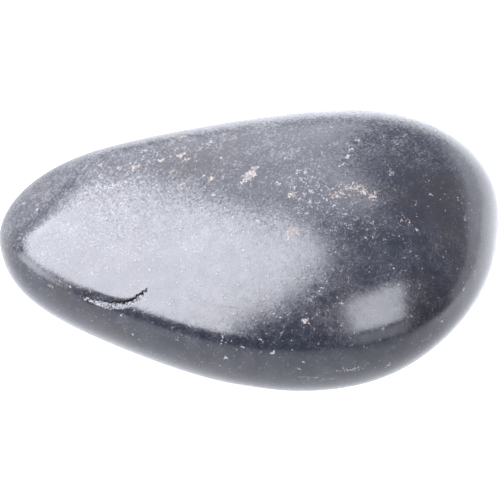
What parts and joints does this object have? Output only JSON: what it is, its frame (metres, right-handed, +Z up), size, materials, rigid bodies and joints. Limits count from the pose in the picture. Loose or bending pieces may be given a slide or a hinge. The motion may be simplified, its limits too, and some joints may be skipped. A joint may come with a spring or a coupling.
{
  "type": "river pebble",
  "caption": "Water-worn, egg-shaped dark stone with a blunt end, a narrow end, a short open crack and a small flat to rest on.",
  "frame": {"origin": "middle of the stone's footprint, on the surface that it rests on", "axes": "+X along the stone towards its blunt end, +Y towards its back, +Z up through its thickness"},
  "size_m": [0.0599, 0.0382, 0.0251],
  "materials": {
    "stone": "dark grey fine-grained rock, water-worn to a satin sheen, with pale specks and tan grains"
  },
  "bodies": {
    "root": {"pebble": "stone"}
  },
  "joints": []
}
